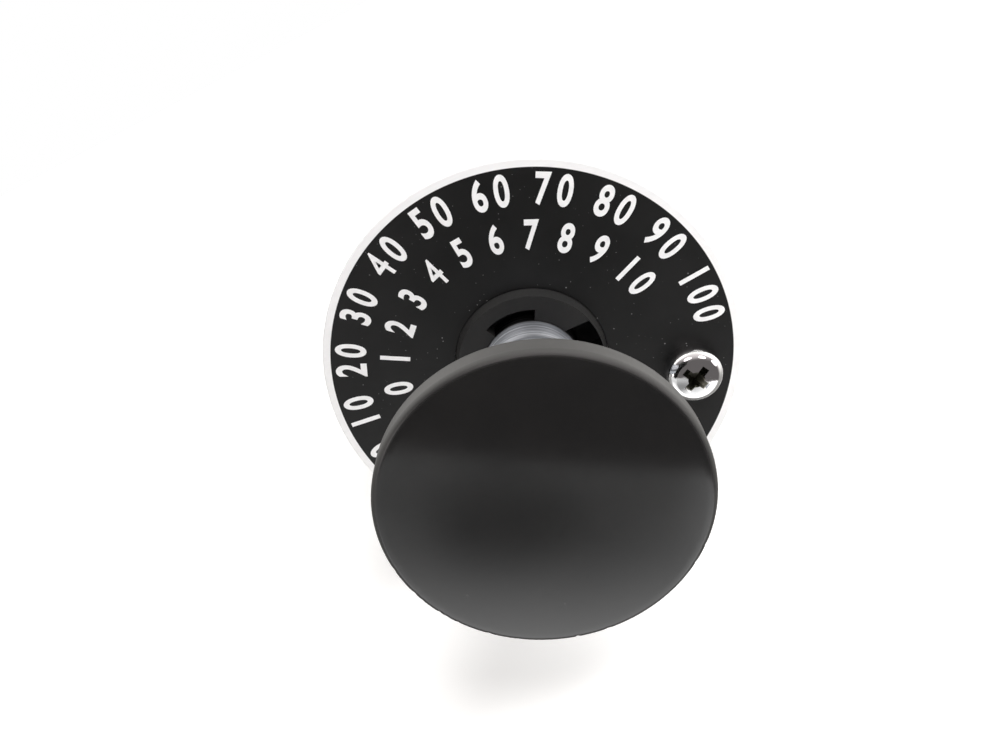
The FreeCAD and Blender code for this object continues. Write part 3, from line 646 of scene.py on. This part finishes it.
def digit_outlines():
    """Flat shapes of the ten digits, one unit high, from the built in font."""
    shapes = {}
    for digit in "0123456789":
        curve = bpy.data.curves.new("digit", "FONT")
        curve.body = digit
        curve.align_x = "CENTER"
        curve.offset = DIGIT_BOLD_FOUR if digit == "4" else DIGIT_BOLD
        curve.resolution_u = 6
        curve.fill_mode = "FRONT"
        obj = bpy.data.objects.new("digit", curve)
        bpy.context.scene.collection.objects.link(obj)
        graph = bpy.context.evaluated_depsgraph_get()
        mesh = bpy.data.meshes.new_from_object(obj.evaluated_get(graph))
        low = min(v.co.y for v in mesh.vertices)
        tall = max(v.co.y for v in mesh.vertices) - low
        points = [(v.co.x / tall, (v.co.y - low) / tall) for v in mesh.vertices]
        shapes[digit] = (points, [tuple(p.vertices) for p in mesh.polygons])
        bpy.data.objects.remove(obj)
        bpy.data.curves.remove(curve)
    return shapes


def on_plate(radius, angle, lift):
    """A point on the nameplate's front, at this radius and angle about the plate's own middle."""
    return mm(PLATE_CENTRE.x + radius * math.cos(angle), PLATE_FRONT_Y - lift,
              PLATE_CENTRE.z + radius * math.sin(angle))


def digit_places(numbers, radius, pitch, start, end):
    """Each digit with its angle, so that the numbers fill the arc from start to end with even gaps."""
    arc = abs(math.radians(end - start)) * radius
    digits = sum(len(number) for number in numbers)
    gap = (arc - digits * pitch) / (len(numbers) - 1)
    places = []
    along = 0.0
    for number in numbers:
        for digit in number:
            share = (along + pitch / 2) / arc
            places.append((digit, math.radians(start + (end - start) * share)))
            along += pitch
        along += gap
    return places


def make_band(name, numbers, band, shapes):
    """A row of raised numbers along an arc, each digit upright on its own radius."""
    radius, height, pitch, start, end = band
    tilt = math.degrees(PHOTO_ROLL)
    bm = bmesh.new()
    for digit, angle in digit_places(numbers, radius, pitch, start - tilt, end - tilt):
        points, faces = shapes[digit]
        fronts = []
        for x, y in points:
            spot = on_plate(radius + (y - 0.5) * height, angle, PRINT_T)
            spot += mm(math.sin(angle), 0, -math.cos(angle)) * (x * height * DIGIT_NARROW)
            fronts.append(bm.verts.new(spot))
        for face in faces:
            bm.faces.new([fronts[i] for i in face])
    bmesh.ops.recalc_face_normals(bm, faces=bm.faces)
    solid = bmesh.ops.extrude_face_region(bm, geom=list(bm.faces))
    moved = [g for g in solid["geom"] if isinstance(g, bmesh.types.BMVert)]
    bmesh.ops.translate(bm, vec=mm(0, PRINT_T, 0), verts=moved)
    bmesh.ops.recalc_face_normals(bm, faces=bm.faces)
    return add_piece(mesh_object(name, bm, PRINT_WHITE), "housing")


def make_marks():
    """Two rows of plain numbers, as on a dial."""
    shapes = digit_outlines()
    make_band("outer_numbers", [str(n) for n in range(0, 101, 10)], OUTER_BAND, shapes)
    make_band("inner_numbers", [str(n) for n in range(11)], INNER_BAND, shapes)


def make_return_spring():
    low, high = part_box("return_spring")
    start_y = low[1] / MM
    length = (high[1] - low[1]) / MM
    bm = bmesh.new()
    rings = []
    steps = round(SPRING_TURNS * SPRING_STEPS)
    for k in range(steps + 1):
        share = k / steps
        a = 2 * math.pi * SPRING_TURNS * share
        out = Vector((math.cos(a), 0, math.sin(a)))
        centre_y = start_y + SPRING_WIRE_R + (length - 2 * SPRING_WIRE_R) * share
        row = []
        for j in range(WIRE_SIDES):
            b = 2 * math.pi * j / WIRE_SIDES
            spot = out * (SPRING_COIL_R + SPRING_WIRE_R * math.cos(b))
            row.append(bm.verts.new(mm(spot.x, centre_y + SPRING_WIRE_R * math.sin(b), spot.z)))
        rings.append(row)
    for one, two in zip(rings, rings[1:]):
        for j in range(WIRE_SIDES):
            after = (j + 1) % WIRE_SIDES
            bm.faces.new([one[j], one[after], two[after], two[j]])
    bm.faces.new(rings[0])
    bm.faces.new(rings[-1])
    bmesh.ops.recalc_face_normals(bm, faces=bm.faces)
    spring = mesh_object("return_spring_coil", bm, SPRING_STEEL)
    add_piece(spring, "housing", ["return_spring"])
    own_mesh(spring)


def make_floor():
    """A white floor that keeps the object's shadow; what the part mirrors is the room alone."""
    s = Shader("floor_white")
    path = s.add("LightPath")
    spot = s.add("SeparateXYZ", Vector=s.place())
    away = s.length(spot.outputs["X"], spot.outputs["Y"])
    level = s.span(away, GLOW_FROM, GLOW_TO, FLOOR_GLOW, FAR_GLOW)
    seen = s.times(path.outputs["Is Camera Ray"], level)
    glow = s.add("Emission", Color=grey(1.0), Strength=seen)
    colour = s.mix(s.noise(0.02, 2.0), grey(0.80, 0.012), grey(0.82, 0.012))
    matt = s.add("BsdfDiffuse", Color=colour)
    both = s.add("AddShader")
    s.tree.links.new(glow.outputs[0], both.inputs[0])
    s.tree.links.new(matt.outputs[0], both.inputs[1])
    s.tree.links.new(both.outputs[0], s.add("OutputMaterial").inputs["Surface"])
    bm = bmesh.new()
    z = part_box("nameplate")[0][2] - FLOOR_GAP * MM
    signs = ((-1, -1), (1, -1), (1, 1), (-1, 1))
    bm.faces.new([bm.verts.new((x * FLOOR_HALF, y * FLOOR_HALF, z)) for x, y in signs])
    floor = mesh_object("floor", bm, s.material)
    floor.visible_glossy = False


def along(shader, direction, axis):
    """How far the looking direction points along an axis, from -1 to 1."""
    node = shader.add("VectorMath", {"operation": "DOT_PRODUCT"})
    shader.feed(node.inputs[0], direction)
    shader.feed(node.inputs[1], axis)
    return node.outputs["Value"]


def table_light(s, direction, height, near, aside):
    """The light of the table in each direction, which fades out below the part."""
    off_middle = s.math("ABSOLUTE", aside)
    table = s.span(height, -0.93, -0.60, TABLE_NEAR_LIGHT, TABLE_FAR_LIGHT)
    both_sides = s.span(off_middle, 0.1, 0.45, 0.0, TABLE_SIDE_LIGHT)
    both_sides = s.times(both_sides, s.span(height, -0.62, -0.5, 1.0, 0.3))
    right_end = s.span(aside, 0.32, 0.5, 0.0, TABLE_RIGHT_LIGHT)
    band = s.span(height, -0.57, -0.46, 0.0, TABLE_BAND_LIGHT)
    to_spot = along(s, direction, from_photo(*DARK_SPOT).normalized())
    spot = s.span(to_spot, 0.975, 0.998, 0.0, DARK_SPOT_LOSS)
    whole = s.total(both_sides, right_end, band, table, spot)
    return s.times(whole, s.span(near, 0.25, 0.5, 0.3, 1.0))


def make_world():
    """White wherever the camera looks; for all else a bright room that is dark round the camera."""
    world = bpy.data.worlds.new("studio")
    bpy.context.scene.world = world
    s = Shader("", world)
    path = s.add("LightPath")
    direction = s.add("TexCoord").outputs["Generated"]
    height = along(s, direction, from_photo(0, 1, 0))
    near = along(s, direction, from_photo(0, 0, 1))
    aside = along(s, direction, from_photo(1, 0, 0))
    in_front = s.span(near, 0.05, 0.45)
    edge = s.span(s.total(height, s.times(aside, TABLE_TILT)), *TABLE_EDGE)
    table = s.times(table_light(s, direction, height, near, aside), s.math("SUBTRACT", 1.0, edge))
    upper = s.span(height, 0.2, 0.8, 0.0, UPPER_FRONT_LIGHT)
    front = s.total(table, s.times(edge, DARK_FRONT_LIGHT), upper)
    sideways = s.span(s.math("ABSOLUTE", aside), 0.1, 0.7, 0.75, 1.5)
    behind = s.times(s.span(height, -0.5, 0.3, WALL_FOOT_LIGHT, WALL_LIGHT), sideways)
    room = s.total(s.mix(in_front, behind, front), s.span(height, 0.4, 0.95, 0.0, CEILING_LIGHT))
    for window in WINDOWS:
        close = along(s, direction, from_photo(*window).normalized())
        room = s.total(room, s.span(close, *WINDOW_EDGE, 0.0, WINDOW_LIGHT))
    share = s.span(path.outputs["Is Glossy Ray"], 0.0, 1.0, ROOM_LIGHT, 1.0)
    level = s.math("MAXIMUM", s.times(room, share), path.outputs["Is Camera Ray"])
    tint = s.mix(in_front, WALL_TINT, s.mix(edge, grey(1.0), FRONT_TINT))
    tint = s.mix(path.outputs["Is Camera Ray"], tint, grey(1.0))
    back = s.add("Background", Color=tint, Strength=level)
    out = s.add("OutputWorld")
    s.tree.links.new(back.outputs[0], out.inputs["Surface"])


def make_lamp(name, place, size, power):
    """A soft rectangular lamp at a place in the photo's frame, aimed at the part."""
    data = bpy.data.lights.new(name, "AREA")
    data.shape = "RECTANGLE"
    data.size, data.size_y = (side * MM for side in size)
    data.energy = power
    lamp = bpy.data.objects.new(name, data)
    lamp.location = from_photo(*place) * MM
    lamp.rotation_mode = "QUATERNION"
    lamp.rotation_quaternion = (-lamp.location).to_track_quat("-Z", "Y")
    lamp.visible_glossy = False
    bpy.context.scene.collection.objects.link(lamp)


def make_lights():
    make_lamp("top_lamp", (68, 406, 128), (370, 290), 2.7)
    make_lamp("left_lamp", (-380, 200, 60), (200, 120), 0.24)
    make_lamp("right_lamp", (380, 200, 60), (200, 120), 0.12)


def make_camera():
    data = bpy.data.cameras.new("photo_camera")
    data.sensor_width = SENSOR
    data.lens = FOCAL_PIXELS / PHOTO_WIDTH * SENSOR
    data.clip_start = 0.005
    data.clip_end = 20.0
    right = Vector((1, 0, 0))
    forward = Vector((0, -math.sin(CAMERA_TILT), -math.cos(CAMERA_TILT)))
    roll = Matrix.Rotation(-CAMERA_ROLL, 3, -forward)
    right = roll @ right
    up = roll @ Vector((0, math.cos(CAMERA_TILT), -math.sin(CAMERA_TILT)))
    columns = [from_photo(*v) for v in (right, up, -forward)]
    camera = bpy.data.objects.new("photo_camera", data)
    place = (PLATE_CENTRE + from_photo(*CAMERA_PLACE)) * MM
    camera.matrix_world = Matrix.Translation(place) @ Matrix(columns).transposed().to_4x4()
    bpy.context.scene.collection.objects.link(camera)
    bpy.context.scene.camera = camera


dress_nodes()
make_knob()
make_plunger()
make_marks()
make_return_spring()
make_floor()
make_world()
make_lights()
make_camera()
bpy.context.scene.view_settings.view_transform = "Standard"
